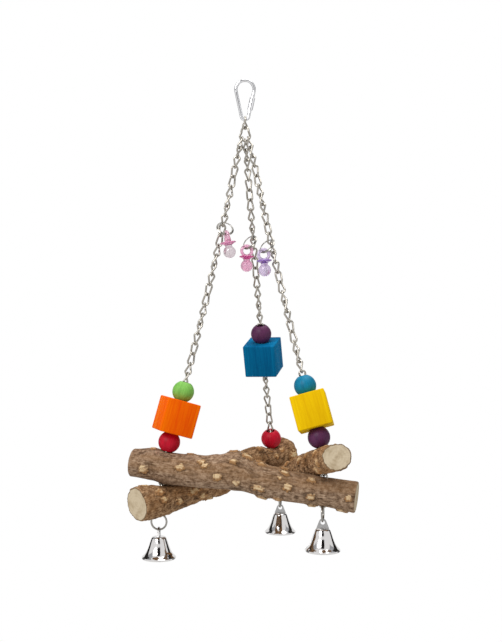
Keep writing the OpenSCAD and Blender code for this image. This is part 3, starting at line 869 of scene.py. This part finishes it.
@dataclass
class Branch:
    """A drilled branch between two crossings, with its bark, thorns and sawn ends.

    Stations are (share of the length, share of the half thickness, share of it that the middle
    is raised). Thorn angles run from the top towards the front of the branch, in degrees, and
    all sizes are in millimetres. Only the start of a branch may swell to an oval.
    """

    node: str
    slot: str
    bark: Finish
    first: Point
    second: Point
    start: float
    end: float
    radius: float
    stations: list
    thorns: list[Thorn]
    bores: list[tuple[Point, Point]]
    swell: float = 0.0
    relief: float = 0.25
    relief_mm: float = 2.2
    relief_stretch: float = 0.25
    seed: float = 0.0
    rings: int = 400
    sides: int = 168
    cap_rings: int = 12
    rough: tuple[float, float, int] = (0.7, 2.1, 4)
    broad_mm: float = 11.0
    broad_share: float = 1.1
    flat_calm: float = 0.7
    # Painted shade: the relief's low points are darkened from this share of its depth down.
    pit_shade_from: float = 0.2
    swell_mm: float = 25.0
    rounding: float = 0.5
    rounding_mm: float = 0.4
    saw_mark: float = 0.06
    bore_radius: float = 4.0
    bore_overrun: float = 10.0
    sharp_angle: float = 45.0

    def at_station(self, column: int, share: np.ndarray) -> np.ndarray:
        """Returns a smooth value between the stations.

        Args:
            column: 1 for the thickness, 2 for the rise.
            share: shares of the branch's length.

        Returns:
            The values at those shares.
        """
        places = np.array([s[0] for s in self.stations])
        values = np.array([s[column] for s in self.stations])
        i = np.clip(np.searchsorted(places, share, side="right") - 1, 0, len(places) - 2)
        w = np.clip((share - places[i]) / (places[i + 1] - places[i]), 0, 1)
        return values[i] + (values[i + 1] - values[i]) * (3 - 2 * w) * w * w

    def relief_at(self, places: np.ndarray) -> np.ndarray:
        """Works out the bark's relief.

        Args:
            places: places on the smooth branch, in millimetres.

        Returns:
            The relief at each of them, in millimetres.
        """
        offset = Vector((self.seed, 0, 0))
        stretch = (self.relief_stretch / self.relief_mm, 1 / self.relief_mm,
                   1 / self.relief_mm)
        coarse = np.array([noise.fractal(
            Vector((p[0] * stretch[0], p[1] * stretch[1], p[2] * stretch[2])) + offset,
            *self.rough) for p in places])
        broad = np.array([noise.noise(Vector(p) / self.broad_mm + offset) for p in places])
        return self.relief * coarse + self.broad_share * self.relief * broad

    def wrap(self, mesh: bpy.types.Mesh, length: float) -> None:
        """Wraps a flat grid round the branch, with its relief, thorns and sawn ends.

        Args:
            mesh: the flat grid, which gets the branch's own places and attributes.
            length: the branch's length, in millimetres.
        """
        skin = Skin(mesh, self.rings, self.cap_rings)
        share, angle, pith = skin.share, skin.angle, skin.pith
        rise = self.radius * self.at_station(2, share)
        skin.lay(length, self.radius * self.at_station(1, share))
        relief = self.relief_at(skin.places)
        for thorn in self.thorns:
            thorn.mark(skin)
        relief = relief * (1 - self.flat_calm * skin.flat)
        # Painted shade: the low points of the relief and the rings round the thorns, outside their flats, are
        # marked for darkening.
        pit_shade = np.clip(-relief / self.relief - self.pit_shade_from, 0, 1)
        painted_shade = np.clip(skin.painted_shade * (1 - skin.flat) + pit_shade, 0, 1)
        ends = np.minimum(share, 1 - share) * length
        rounding = self.rounding * np.exp(-(ends / self.rounding_mm) ** 2)
        oval = 1 + (abs(self.swell) / 3 - self.swell * np.cos(2 * angle)) * np.exp(
            -(share * length / self.swell_mm) ** 2)
        radius = (skin.base * oval + relief + skin.height - rounding) * pith
        saw = np.where(pith < 1, self.saw_mark * skin.waver, 0)
        points = np.stack([share * length + saw, -radius * np.sin(angle),
                           rise + radius * np.cos(angle)], 1) * MM
        mesh.vertices.foreach_set("co", points.reshape(-1))
        for name, values in (("thorn", skin.flat * (pith >= 1)), ("flank", skin.flank),
                             ("painted_shade", painted_shade), ("pith_mm", radius), ("pith_share", pith)):
            data = mesh.attributes.new(name, "FLOAT", "POINT").data
            data.foreach_set("value", values.astype(np.float32))
        for finish in (self.bark, Finish.SAWN):
            mesh.materials.append(finish.made())
        sawn = np.array([pith[list(f.vertices)].min() < 1 for f in mesh.polygons])
        mesh.polygons.foreach_set("material_index", sawn.astype(np.int32))

    def build(self) -> None:
        """Models the branch as one skin wrapped round it, lays it in place and drills it."""
        first = Vector(self.first)
        second = Vector(self.second)
        way = (second - first).normalized()
        across = Vector((-way.y, way.x, 0)).normalized()
        deselect()
        bpy.ops.mesh.primitive_grid_add(x_subdivisions=self.rings + 2 * self.cap_rings,
                                        y_subdivisions=self.sides, size=1)
        piece = bpy.context.object
        piece.name = self.node + "_log"
        self.wrap(piece.data, self.start + (second - first).length + self.end)
        keep_own_place(piece)
        tidy_mesh(piece)
        origin = first - way * self.start
        place = Matrix.Translation(origin * MM) @ Matrix(
            (way, across, way.cross(across))).transposed().to_4x4()
        piece.data.transform(place)
        for low, high in self.bores:
            low = Vector(low)
            high = Vector(high)
            reach = (high - low).normalized() * self.bore_overrun
            bore(piece, self.bore_radius, low - reach, high + reach * 2)
        smooth(piece, self.sharp_angle)
        settle(piece, Matrix.Identity(4), self.node, [])


@dataclass
class Bell:
    """A pressed bell cup with a rolled rim, its lug, its ring and its clapper."""

    corner: str
    rim_radius: float = 12.5
    height: float = 16.2
    wall: float = 0.7
    crown_hole: float = 1.2
    shares: tuple = (
        (0.29, 0.0), (0.37, 0.02), (0.43, 0.07), (0.47, 0.15), (0.53, 0.28), (0.59, 0.42),
        (0.66, 0.56), (0.74, 0.69), (0.84, 0.8), (0.95, 0.88), (1.0, 0.92))
    between: int = 5
    lip_share: float = 0.04
    lip_steps: int = 8
    lip_from: float = 40.0
    lip_turn: float = 190.0
    turn_steps: int = 128
    sharp_angle: float = 50.0

    def outline(self) -> list[tuple[float, float]]:
        """Draws the cup's section, with a smooth flare and a rolled rim.

        Returns:
            The section's corners, as radius and height in millimetres.
        """
        flare = [Vector((s[0] * self.rim_radius, -s[1] * self.height)) for s in self.shares]
        fine = []
        for i in range(len(flare) - 1):
            before = flare[max(i - 1, 0)]
            after = flare[min(i + 2, len(flare) - 1)]
            for k in range(self.between):
                t = k / self.between
                point = 0.5 * ((2 * flare[i]) + (flare[i + 1] - before) * t
                               + (2 * before - 5 * flare[i] + 4 * flare[i + 1] - after) * t * t
                               + (3 * flare[i] - before - 3 * flare[i + 1] + after) * t ** 3)
                fine.append(point)
        lip = self.height * self.lip_share
        middle = Vector((self.rim_radius - lip, -self.height + lip))
        roll = [middle + lip * Vector((math.cos(a), math.sin(a)))
                for a in (math.radians(self.lip_from - self.lip_turn * i / self.lip_steps)
                          for i in range(self.lip_steps + 1))]
        outer = [Vector((self.crown_hole, 0))] + fine + roll
        inner = []
        for i in range(len(fine) - 1, 0, -1):
            slope = (fine[i] - fine[i - 1]).normalized()
            inward = Vector((slope.y, -slope.x))
            inner.append(fine[i] + inward * self.wall)
        inner = [p for p in inner if p.x > self.crown_hole and p.y < -self.wall]
        inner.append(Vector((self.crown_hole, -self.wall)))
        return [(p.x, p.y) for p in outer + inner]

    def build(self) -> None:
        """Turns the cup and dresses what hangs with it."""
        node = self.corner + "_bell"
        piece = turned(node + "_cup", self.outline(), self.turn_steps)
        smooth(piece, self.sharp_angle)
        middle = middle_of(node)
        crown = Vector((middle.x, middle.y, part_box(node)[1].z))
        settle(piece, Matrix.Translation(crown), node, [Finish.BELL_CHROME])
        dress(self.corner + "_bell_ring", Finish.RING_NICKEL)
        dress(self.corner + "_bell_lug", Finish.LUG_STEEL)
        dress(self.corner + "_clapper", Finish.CLAPPER_STEEL)


@dataclass
class Charm:
    """A moulded acrylic charm: loop, dished oval shield and bulb, on its split ring."""

    side: str
    slot: str
    loop: Finish
    shield: Finish
    bulb: Finish
    own_turn: float
    own_lean: float
    cad_loop_half: float = 4.8
    loop_radius: float = 3.8
    loop_wire: float = 1.2
    loop_spread: float = 0.8
    shield_half: float = 6.0
    shield_top: float = -2.8
    shield_edge: float = -4.4
    shield_foot: float = -7.2
    edge_thick: float = 1.1
    edge_from: float = -80.0
    edge_step: float = 32.0
    edge_points: int = 6
    bulb_radius: float = 4.6
    bulb_drop: float = -11.3
    neck_radius: float = 2.6
    pole: float = 0.05
    pole_turn: float = 0.02
    overlap: float = 0.5
    flatter: float = 0.94
    turn_steps: int = 72
    loop_sides: int = 24
    shield_steps: int = 14
    bulb_steps: int = 24
    sharp_angle: float = 40.0
    ring_radius: float = 5.85
    ring_wire: float = 0.36
    coil_offset: float = 0.4
    coil_drop: float = 0.9
    coil_from: float = -125.0
    coil_step: float = 25.0
    coil_points: int = 11
    ring_steps: int = 96
    ring_sharp: float = 60.0

    def shield_outline(self) -> list[tuple[float, float]]:
        """Draws the section of the shield: a lens, thick in the middle and thin at its edge.

        Returns:
            The section's corners, as radius and height in millimetres.
        """
        half = self.edge_thick / 2
        low = []
        high = []
        for i in range(self.shield_steps):
            t = i / self.shield_steps
            bend = t * t * (3 - 2 * t)
            radius = max(self.pole, self.shield_half * t)
            low.append((radius, self.shield_foot
                        + (self.shield_edge - half - self.shield_foot) * bend))
            high.append((radius, self.shield_top
                         + (self.shield_edge + half - self.shield_top) * bend))
        edge = [(self.shield_half - half + half * math.cos(a),
                 self.shield_edge + half * math.sin(a))
                for a in (math.radians(self.edge_from + self.edge_step * i)
                          for i in range(self.edge_points))]
        return low + edge + high[::-1]

    def bulb_outline(self) -> list[tuple[float, float]]:
        """Draws the section of the bulb, with its neck hidden in the shield.

        Returns:
            The section's corners, as radius and height in millimetres.
        """
        start = math.asin(self.neck_radius / self.bulb_radius)
        reach = math.pi - self.pole_turn - start
        ball = [(self.bulb_radius * math.sin(a),
                 self.bulb_drop + self.bulb_radius * math.cos(a))
                for a in (start + reach * i / self.bulb_steps
                          for i in range(self.bulb_steps + 1))]
        top = self.shield_edge - self.overlap
        return [(self.pole, top), (self.neck_radius, top), *ball]

    def build(self) -> None:
        """Models the charm in one piece and hangs it on its ring."""
        node = self.side + "_charm"
        turn = (Matrix.Rotation(math.radians(self.own_lean), 4, "Y")
                @ Matrix.Rotation(math.radians(self.own_turn), 4, "Z"))
        low, high = own_top(node, turn)
        centre = Vector(((low.x + high.x) / 2, (low.y + high.y) / 2,
                         high.z - self.cad_loop_half * MM))
        deselect()
        bpy.ops.mesh.primitive_torus_add(
            major_radius=self.loop_radius * MM, minor_radius=self.loop_wire * MM,
            major_segments=self.turn_steps, minor_segments=self.loop_sides)
        loop = bpy.context.object
        loop.name = node + "_moulded"
        loop.data.transform(Matrix.Rotation(math.pi / 2, 4, "X"))
        for vertex in loop.data.vertices:
            below = max(0.0, -vertex.co.z) / (self.loop_radius * MM)
            vertex.co.y *= 1 + self.loop_spread * below
        shield = turned(node + "_shield", self.shield_outline(), self.turn_steps)
        shield.data.transform(Matrix.Diagonal((self.flatter, 1.0, 1.0, 1.0)))
        bulb = turned(node + "_bulb", self.bulb_outline(), self.turn_steps)
        for part, finish in ((loop, self.loop), (shield, self.shield), (bulb, self.bulb)):
            part.data.materials.append(finish.made())
        for part in (bulb, shield):
            apply_modifier(loop, "BOOLEAN", object=part, operation="UNION",
                           solver="MANIFOLD", material_mode="TRANSFER")
            bpy.data.objects.remove(part)
        tidy_mesh(loop)
        smooth(loop, self.sharp_angle)
        settle(loop, turn @ Matrix.Translation(centre), node, [])
        self.build_ring()

    def build_ring(self) -> None:
        """Models the split ring as two turns of wire side by side."""
        node = self.side + "_charm_ring"
        turns = [math.radians(self.coil_from + self.coil_step * i)
                 for i in range(self.coil_points)]
        coils = []
        for coil in (1, -1):
            coils += [(self.ring_radius + coil * self.coil_offset
                       + self.ring_wire * math.sin(a),
                       coil * self.ring_wire * (self.coil_drop + math.cos(a))) for a in turns]
        axis = joint_axis(self.side + "_charm_ring_hinge")
        piece = turned(node + "_split", coils, self.ring_steps)
        smooth(piece, self.ring_sharp)
        turn = Vector((0, 0, 1)).rotation_difference(axis).to_matrix().to_4x4()
        settle(piece, Matrix.Translation(middle_of(node)) @ turn, node,
               [Finish.RING_NICKEL])


@dataclass
class Branches:
    """The three branches of the triangle, each over the next."""

    left_mouth: tuple[float, float] = (-57.2, -19.0)
    back_mouth: tuple[float, float] = (21.5, 64.0)
    right_mouth: tuple[float, float] = (54.5, -45.0)
    left_bore: tuple[Point, Point] = ((-62.5, -20.8, -320.0), (-57.6, -19.15, -274.3))
    back_bore: tuple[Point, Point] = ((28.2, 66.0, -318.8), (21.27, 64.75, -280.7))
    right_bore: tuple[Point, Point] = ((55.0, -45.4, -309.3), (54.5, -45.0, -268.0))

    def front(self) -> Branch:
        """Describes the front branch: grey, fairly smooth, with pale thorns.

        Returns:
            The branch, not yet built.
        """
        thorns = [Thorn(0.075, 104, 5, 4.4, 1.0), Thorn(0.095, 12, 3, 2.6, 0.9),
                  Thorn(0.24, 72, 4.6, 3.4), Thorn(0.26, 350, 4.6, 3, 0.9),
                  Thorn(0.33, 46, 4.6, 3, 1.4), Thorn(0.35, 62, 4.2, 2.6, 1.4),
                  Thorn(0.41, 100, 4.4, 3.8), Thorn(0.45, 352, 5, 3.4, 1.5),
                  Thorn(0.47, 52, 4.2, 2.6, 1.3), Thorn(0.495, 114, 3.6, 2.8, 1.5),
                  Thorn(0.52, 6, 5.5, 4, 1.6), Thorn(0.565, 350, 4, 3.4, 1.2),
                  Thorn(0.59, 112, 6, 3, 1.5), Thorn(0.6, 168, 6, 4, 1.8),
                  Thorn(0.585, 18, 4.4, 2.6, 1.4), Thorn(0.68, 352, 4, 3, 1.5),
                  Thorn(0.69, 30, 5, 3, 1.6), Thorn(0.67, 146, 5, 3.4, 1.4),
                  Thorn(0.675, 56, 2.4, 2, 0.8), Thorn(0.715, 84, 4.6, 3.4),
                  Thorn(0.81, 42, 4.8, 2.8, 1.5), Thorn(0.815, 108, 4.6, 3.4),
                  Thorn(0.82, 170, 5, 4, 1.6), Thorn(0.945, 168, 5, 4, 1.4),
                  Thorn(0.975, 88, 3.4, 3, 1.2), Thorn(0.2, 230), Thorn(0.36, 260),
                  Thorn(0.5, 220), Thorn(0.64, 290), Thorn(0.76, 240)]
        return Branch(
            "front_perch", "grey_bark", Finish.GREY_BARK,
            (*self.left_mouth, -286.1), (*self.right_mouth, -298.6), 26.4, 24.7, 11.0,
            [(0, 0.93, 0.05), (0.1, 1.07, 0.15), (0.165, 1.06, 0), (0.315, 1.06, 0.11),
             (0.385, 1.13, 0.27), (0.438, 1.22, 0.43), (0.475, 1.27, 0.47), (0.51, 1.14, 0.38),
             (0.565, 1.05, 0.2), (0.635, 1.03, 0.1), (0.71, 0.98, 0), (0.785, 0.97, 0),
             (0.859, 0.91, 0), (0.935, 0.95, -0.03), (1, 0.99, -0.07)],
            thorns, [self.left_bore, self.right_bore], swell=0.0, relief=0.22, relief_mm=2.4,
            relief_stretch=0.2, seed=3.0)

    def left(self) -> Branch:
        """Describes the branch from the left corner to the back: rough and brown.

        Returns:
            The branch, not yet built.
        """
        thorns = [Thorn(0.065, 344, 5, 4, 1.2), Thorn(0.095, 44, 5, 3.6, 1.2),
                  Thorn(0.105, 76, 4, 3), Thorn(0.19, 96, 4.6, 3.4),
                  Thorn(0.28, 80, 9, 3.4, 1.4), Thorn(0.335, 116, 5, 3.4, 1.2),
                  Thorn(0.4, 156, 5, 4, 1.4), Thorn(0.46, 60), Thorn(0.6, 100),
                  Thorn(0.66, 30), Thorn(0.765, 28, 4.6, 3), Thorn(0.83, 34, 3.6, 2.6, 0.5),
                  Thorn(0.855, 64, 4, 3, 1.0), Thorn(0.91, 44, 3.6, 2.8, 0.5),
                  Thorn(0.965, 96, 6, 5, 1.2), Thorn(0.22, 250), Thorn(0.38, 300),
                  Thorn(0.55, 230), Thorn(0.74, 280)]
        return Branch(
            "left_perch", "brown_bark", Finish.BROWN_BARK,
            (*self.left_mouth, -309.0), (*self.back_mouth, -290.3), 27.8, 20.0, 10.6,
            [(0, 1.07, 0.44), (0.09, 1.05, 0.2), (0.172, 0.96, 0), (0.38, 1.04, 0.12),
             (0.48, 1.09, -0.07), (0.646, 1.04, 0.29), (0.758, 1.02, 0.43), (0.8, 0.97, 0.27),
             (0.855, 0.9, 0), (0.9, 0.9, 0), (0.97, 1.04, 0.24), (1, 1, 0.1)],
            thorns, [self.left_bore, self.back_bore], swell=-0.08, relief=0.6, relief_mm=3.4,
            relief_stretch=0.7, seed=17.0)

    def right(self) -> Branch:
        """Describes the branch from the right corner to the back, with a knot under its end.

        Returns:
            The branch, not yet built.
        """
        thorns = [Thorn(0.06, 256, 4, 3.4), Thorn(0.115, 228, 5, 4, 1.4),
                  Thorn(0.105, 300, 4, 3), Thorn(0.23, 308, 4.4, 3, 1.5),
                  Thorn(0.3, 290, 4.4, 3.4, 1.5), Thorn(0.34, 40), Thorn(0.45, 250),
                  Thorn(0.52, 320), Thorn(0.58, 120), Thorn(0.66, 60), Thorn(0.74, 280),
                  Thorn(0.95, 90), Thorn(0.96, 240)]
        return Branch(
            "right_perch", "brown_bark", Finish.BROWN_BARK,
            (*self.right_mouth, -277.3), (*self.back_mouth, -309.7), 29.3, 22.0, 9.2,
            [(0, 1.07, -0.2), (0.1, 1.06, -0.1), (0.178, 1, 0), (0.38, 1.03, 0.1),
             (0.6, 0.98, 0), (0.868, 0.87, 0), (1, 0.91, 0)],
            thorns, [self.right_bore, self.back_bore], swell=0.09, relief=0.6, relief_mm=3.2,
            relief_stretch=0.6, seed=41.0)

    def build(self) -> None:
        """Builds all three."""
        for branch in (self.front(), self.left(), self.right()):
            branch.build()


@dataclass
class Toys:
    """Beads, blocks and charms, from the left chain to the right one."""

    beads: tuple = (
        ("green_bead", Finish.GREEN, "green_wood"),
        ("left_red_bead", Finish.RED, "red_wood"),
        ("back_purple_bead", Finish.PURPLE, "purple_wood"),
        ("back_red_bead", Finish.RED, "red_wood"),
        ("teal_bead", Finish.TEAL, "teal_wood"),
        ("right_purple_bead", Finish.PURPLE, "purple_wood"))
    blocks: tuple = (
        ("orange_block", Finish.ORANGE, "orange_wood", 19.0),
        ("blue_block", Finish.BLUE, "blue_wood", -15.0),
        ("yellow_block", Finish.YELLOW, "yellow_wood", -6.0))
    charms: tuple = (
        ("left", "charm_pink", Finish.PINK_CLEAR, Finish.PINK_DEEP, Finish.GREY_CLEAR,
         105.0, -9.0),
        ("middle", "charm_rose", Finish.ROSE_CLEAR, Finish.ROSE_DEEP, Finish.ROSE_CLEAR,
         8.0, 0.0),
        ("right", "charm_lavender", Finish.LILAC_CLEAR, Finish.LILAC_DEEP,
         Finish.LILAC_CLEAR, 8.0, -4.0))

    def build(self) -> None:
        """Builds every toy."""
        for bead in self.beads:
            Bead(*bead).build()
        for block in self.blocks:
            Block(*block).build()
        for charm in self.charms:
            Charm(*charm).build()


@dataclass
class Studio:
    """Camera, soft light, a pale floor and dark cards that draw the chrome."""

    camera: Point = (4.5, -780.0, -178.7)
    lens: float = 58.486
    floor: float = -950.0
    floor_radius: float = 1100.0
    floor_sides: int = 96
    paper: str = "#F4F4F2"
    ambient: float = 0.53
    lamp_aim: Point = (0.0, 0.0, -200.0)
    lamps: tuple = (
        ("key lamp", (-900, -1300, 900), 900, 20),
        ("top lamp", (200, 0, 1200), 1000, 10))
    cards: tuple = (
        ("left card", (-900, 100, 620), 1000, 940, "#B4B6B9"),
        ("right card", (900, 100, 620), 1000, 940, "#A5A7AB"),
        ("left wing", (-760, 460, 100), 520, 1500, "#2C2A28"),
        ("right wing", (760, 460, 100), 520, 1500, "#2C2A28"),
        ("front card", (-20, -1000, 760), 620, 1240, "#141110"),
        ("low card", (-20, -1000, -1050), 460, 560, "#141110"))

    def build_camera(self) -> None:
        """Sets the camera level in front of the swing."""
        data = bpy.data.cameras.new("camera")
        data.lens = self.lens
        camera = bpy.data.objects.new("camera", data)
        camera.location = Vector(self.camera) * MM
        camera.rotation_euler = (math.pi / 2, 0, 0)
        bpy.context.scene.collection.objects.link(camera)
        bpy.context.scene.camera = camera

    def build_world(self) -> None:
        """Makes the backdrop white to the eye and in gloss, and a little softer as light."""
        world = bpy.data.worlds.new("white tent")
        bpy.context.scene.world = world
        world.use_nodes = True
        tree = world.node_tree
        tree.nodes.clear()
        path = add_node(tree, "ShaderNodeLightPath")
        seen = add_node(tree, "ShaderNodeMath", {
            0: path.outputs["Is Camera Ray"], 1: path.outputs["Is Glossy Ray"]},
            operation="MAXIMUM")
        clear = add_node(tree, "ShaderNodeMath", {
            0: seen.outputs[0], 1: path.outputs["Is Transmission Ray"]}, operation="MAXIMUM")
        strength = add_node(tree, "ShaderNodeMapRange", {
            "Value": clear.outputs[0], "To Min": self.ambient, "To Max": 1.0})
        white = add_node(tree, "ShaderNodeBackground", {
            "Color": (1, 1, 1, 1), "Strength": strength.outputs["Result"]})
        add_node(tree, "ShaderNodeOutputWorld", {"Surface": white.outputs[0]})

    def build_floor(self) -> None:
        """Lays the pale floor."""
        deselect()
        bpy.ops.mesh.primitive_circle_add(
            vertices=self.floor_sides, radius=self.floor_radius * MM, fill_type="NGON",
            location=(0, 0, self.floor * MM))
        floor = bpy.context.object
        floor.name = "floor"
        material, _, surface = new_material("matt white paper")
        surface.inputs["Base Color"].default_value = linear(self.paper)
        surface.inputs["Roughness"].default_value = 0.9
        floor.data.materials.append(material)

    def build_card(self, name: str, middle: Point, width: float, height: float,
                   colour: str) -> None:
        """Hangs a card that only gloss sees.

        Args:
            name: the card's name.
            middle: its middle, in millimetres. It faces the swing.
            width: its width.
            height: its height.
            colour: its felt's colour.
        """
        deselect()
        bpy.ops.mesh.primitive_plane_add(size=1)
        card = bpy.context.object
        card.name = name
        card.scale = (width * MM, height * MM, 1)
        card.location = Vector(middle) * MM
        aim = Vector((0, 0, middle[2] * MM)) - card.location
        card.rotation_euler = aim.to_track_quat("Z", "Y").to_euler()
        material, _, surface = new_material(name + " felt")
        surface.inputs["Base Color"].default_value = linear(colour)
        surface.inputs["Roughness"].default_value = 1.0
        surface.inputs["Specular IOR Level"].default_value = 0.0
        card.data.materials.append(material)
        card.visible_camera = False
        card.visible_diffuse = False
        card.visible_shadow = False
        card.visible_transmission = False

    def build_lamp(self, name: str, place: Point, size: float, power: float) -> None:
        """Hangs a soft lamp aimed at the middle of the swing.

        Args:
            name: the lamp's name.
            place: its place, in millimetres.
            size: its side.
            power: its power in watts.
        """
        data = bpy.data.lights.new(name, "AREA")
        data.size = size * MM
        data.energy = power
        lamp = bpy.data.objects.new(name, data)
        lamp.location = Vector(place) * MM
        aim = Vector(self.lamp_aim) * MM - lamp.location
        lamp.rotation_euler = aim.to_track_quat("-Z", "Y").to_euler()
        lamp.visible_camera = False
        bpy.context.scene.collection.objects.link(lamp)

    def build(self) -> None:
        """Sets the studio up."""
        bpy.context.scene.view_settings.view_transform = "Standard"
        self.build_camera()
        self.build_world()
        self.build_floor()
        for lamp in self.lamps:
            self.build_lamp(*lamp)
        for card in self.cards:
            self.build_card(*card)


def main() -> None:
    """Builds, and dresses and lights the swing."""
    logging.basicConfig(level=logging.INFO, format="%(message)s")
    for assembly in (Hanger(), Toys(), Branches(), Bell("left"), Bell("back"), Bell("right"),
                     Studio()):
        assembly.build()
        LOG.info("built the %s", type(assembly).__name__)


if __name__ == "__main__":
    main()
